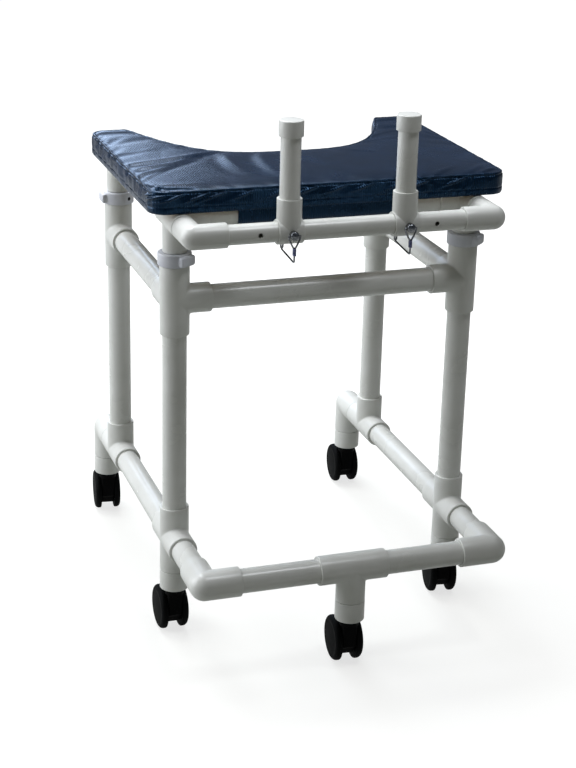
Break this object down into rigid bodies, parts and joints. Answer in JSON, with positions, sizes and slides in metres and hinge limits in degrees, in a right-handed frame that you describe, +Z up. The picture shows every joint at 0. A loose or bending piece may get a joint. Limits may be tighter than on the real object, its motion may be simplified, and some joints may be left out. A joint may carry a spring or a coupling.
{
  "type": "platform walker",
  "caption": "Child's platform walker: open-backed white pipe frame on swivel casters, with a height-adjustable padded forearm platform and upright hand grips.",
  "frame": {"origin": "on the floor, at the middle of the whole walker in plan", "axes": "+Z up; the closed front faces -Y and the open rear faces +Y; +X runs from the left side to the right side as seen from the front"},
  "size_m": [0.5026, 0.6528, 0.7571],
  "materials": {
    "white_pvc": "semi-gloss moulded PVC",
    "natural_nylon": "satin",
    "black_nylon": "semi-gloss",
    "black_wheel": "satin",
    "plated_steel": "bright plated",
    "navy_vinyl": "coated upholstery cloth with a slight sheen",
    "pad_board": "plain"
  },
  "bodies": {
    "base_frame": {"caster_sleeve_centre_front": "white_pvc", "caster_sleeve_front_left": "white_pvc", "caster_sleeve_front_right": "white_pvc", "caster_sleeve_rear_left": "white_pvc", "caster_sleeve_rear_right": "white_pvc", "front_bar": "white_pvc", "front_corner_left": "white_pvc", "front_corner_right": "white_pvc", "front_leg_left": "white_pvc", "front_leg_right": "white_pvc", "height_collar_front_left": "natural_nylon", "height_collar_front_right": "natural_nylon", "height_collar_rear_left": "natural_nylon", "height_collar_rear_right": "natural_nylon", "lower_cross_left": "white_pvc", "lower_cross_right": "white_pvc", "lower_side_rail_left": "white_pvc", "lower_side_rail_right": "white_pvc", "rear_leg_left": "white_pvc", "rear_leg_right": "white_pvc", "rear_lower_corner_left": "white_pvc", "rear_lower_corner_right": "white_pvc", "upper_crossbar": "white_pvc", "upper_front_fitting_left": "white_pvc", "upper_front_fitting_right": "white_pvc", "upper_rear_tee_left": "white_pvc", "upper_rear_tee_right": "white_pvc", "upper_side_rail_left": "white_pvc", "upper_side_rail_right": "white_pvc"},
    "platform": {"platform_front_corner_left": "white_pvc", "platform_front_corner_right": "white_pvc", "platform_rear_corner_left": "white_pvc", "platform_rear_corner_right": "white_pvc", "platform_front_bar": "white_pvc", "platform_cross_pipe": "white_pvc", "pad_board": "pad_board", "pad_cushion": "navy_vinyl", "pad_wrap_flap": "navy_vinyl", "grip_left": "white_pvc", "grip_right": "white_pvc", "lock_pin_left": "plated_steel", "lock_pin_right": "plated_steel"},
    "caster_centre_front": {"caster_centre_front_housing": "black_nylon"},
    "wheel_centre_front_left": {"caster_centre_front_wheel_left": "black_wheel"},
    "wheel_centre_front_right": {"caster_centre_front_wheel_right": "black_wheel"},
    "caster_front_left": {"caster_front_left_housing": "black_nylon"},
    "wheel_front_left_left": {"caster_front_left_wheel_left": "black_wheel"},
    "wheel_front_left_right": {"caster_front_left_wheel_right": "black_wheel"},
    "caster_front_right": {"caster_front_right_housing": "black_nylon"},
    "wheel_front_right_left": {"caster_front_right_wheel_left": "black_wheel"},
    "wheel_front_right_right": {"caster_front_right_wheel_right": "black_wheel"},
    "caster_rear_left": {"caster_rear_left_housing": "black_nylon"},
    "wheel_rear_left_left": {"caster_rear_left_wheel_left": "black_wheel"},
    "wheel_rear_left_right": {"caster_rear_left_wheel_right": "black_wheel"},
    "caster_rear_right": {"caster_rear_right_housing": "black_nylon"},
    "wheel_rear_right_left": {"caster_rear_right_wheel_left": "black_wheel"},
    "wheel_rear_right_right": {"caster_rear_right_wheel_right": "black_wheel"},
    "bail_left": {"lock_bail_left": "plated_steel"},
    "bail_right": {"lock_bail_right": "plated_steel"}
  },
  "joints": [
    {"name": "platform_lift", "type": "slide", "parent": "base_frame", "child": "platform", "axis": [0, 0, 1], "range_m": [0, 0.15]},
    {"name": "centre_front_swivel", "type": "hinge", "parent": "base_frame", "child": "caster_centre_front", "pos_m": [0, -0.3058, 0.0724], "axis": [0, 0, 1], "continuous": true},
    {"name": "centre_front_wheel_left_spin", "type": "hinge", "parent": "caster_centre_front", "child": "wheel_centre_front_left", "pos_m": [0.0009, -0.28522, 0.032], "axis": [0.999, -0.0436, 0], "continuous": true},
    {"name": "centre_front_wheel_right_spin", "type": "hinge", "parent": "caster_centre_front", "child": "wheel_centre_front_right", "pos_m": [0.0009, -0.28522, 0.032], "axis": [0.999, -0.0436, 0], "continuous": true},
    {"name": "front_left_swivel", "type": "hinge", "parent": "base_frame", "child": "caster_front_left", "pos_m": [-0.208, -0.1508, 0.0724], "axis": [0, 0, 1], "continuous": true},
    {"name": "front_left_wheel_left_spin", "type": "hinge", "parent": "caster_front_left", "child": "wheel_front_left_left", "pos_m": [-0.20818, -0.1302, 0.032], "axis": [1, 0.0087, 0], "continuous": true},
    {"name": "front_left_wheel_right_spin", "type": "hinge", "parent": "caster_front_left", "child": "wheel_front_left_right", "pos_m": [-0.20818, -0.1302, 0.032], "axis": [1, 0.0087, 0], "continuous": true},
    {"name": "front_right_swivel", "type": "hinge", "parent": "base_frame", "child": "caster_front_right", "pos_m": [0.208, -0.1508, 0.0724], "axis": [0, 0, 1], "continuous": true},
    {"name": "front_right_wheel_left_spin", "type": "hinge", "parent": "caster_front_right", "child": "wheel_front_right_left", "pos_m": [0.21105, -0.13043, 0.032], "axis": [0.989, -0.1478, 0], "continuous": true},
    {"name": "front_right_wheel_right_spin", "type": "hinge", "parent": "caster_front_right", "child": "wheel_front_right_right", "pos_m": [0.21105, -0.13043, 0.032], "axis": [0.989, -0.1478, 0], "continuous": true},
    {"name": "rear_left_swivel", "type": "hinge", "parent": "base_frame", "child": "caster_rear_left", "pos_m": [-0.208, 0.2725, 0.0724], "axis": [0, 0, 1], "continuous": true},
    {"name": "rear_left_wheel_left_spin", "type": "hinge", "parent": "caster_rear_left", "child": "wheel_rear_left_left", "pos_m": [-0.20567, 0.29297, 0.032], "axis": [0.9936, -0.1132, 0], "continuous": true},
    {"name": "rear_left_wheel_right_spin", "type": "hinge", "parent": "caster_rear_left", "child": "wheel_rear_left_right", "pos_m": [-0.20567, 0.29297, 0.032], "axis": [0.9936, -0.1132, 0], "continuous": true},
    {"name": "rear_right_swivel", "type": "hinge", "parent": "base_frame", "child": "caster_rear_right", "pos_m": [0.208, 0.2725, 0.0724], "axis": [0, 0, 1], "continuous": true},
    {"name": "rear_right_wheel_left_spin", "type": "hinge", "parent": "caster_rear_right", "child": "wheel_rear_right_left", "pos_m": [0.20926, 0.29306, 0.032], "axis": [0.9981, -0.061, 0], "continuous": true},
    {"name": "rear_right_wheel_right_spin", "type": "hinge", "parent": "caster_rear_right", "child": "wheel_rear_right_right", "pos_m": [0.20926, 0.29306, 0.032], "axis": [0.9981, -0.061, 0], "continuous": true},
    {"name": "bail_left_hinge", "type": "hinge", "parent": "platform", "child": "bail_left", "pos_m": [-0.08, -0.265, 0.6116], "axis": [-1, 0, 0], "range_deg": [0, 100]},
    {"name": "bail_right_hinge", "type": "hinge", "parent": "platform", "child": "bail_right", "pos_m": [0.08, -0.265, 0.6116], "axis": [-1, 0, 0], "range_deg": [0, 100]}
  ]
}
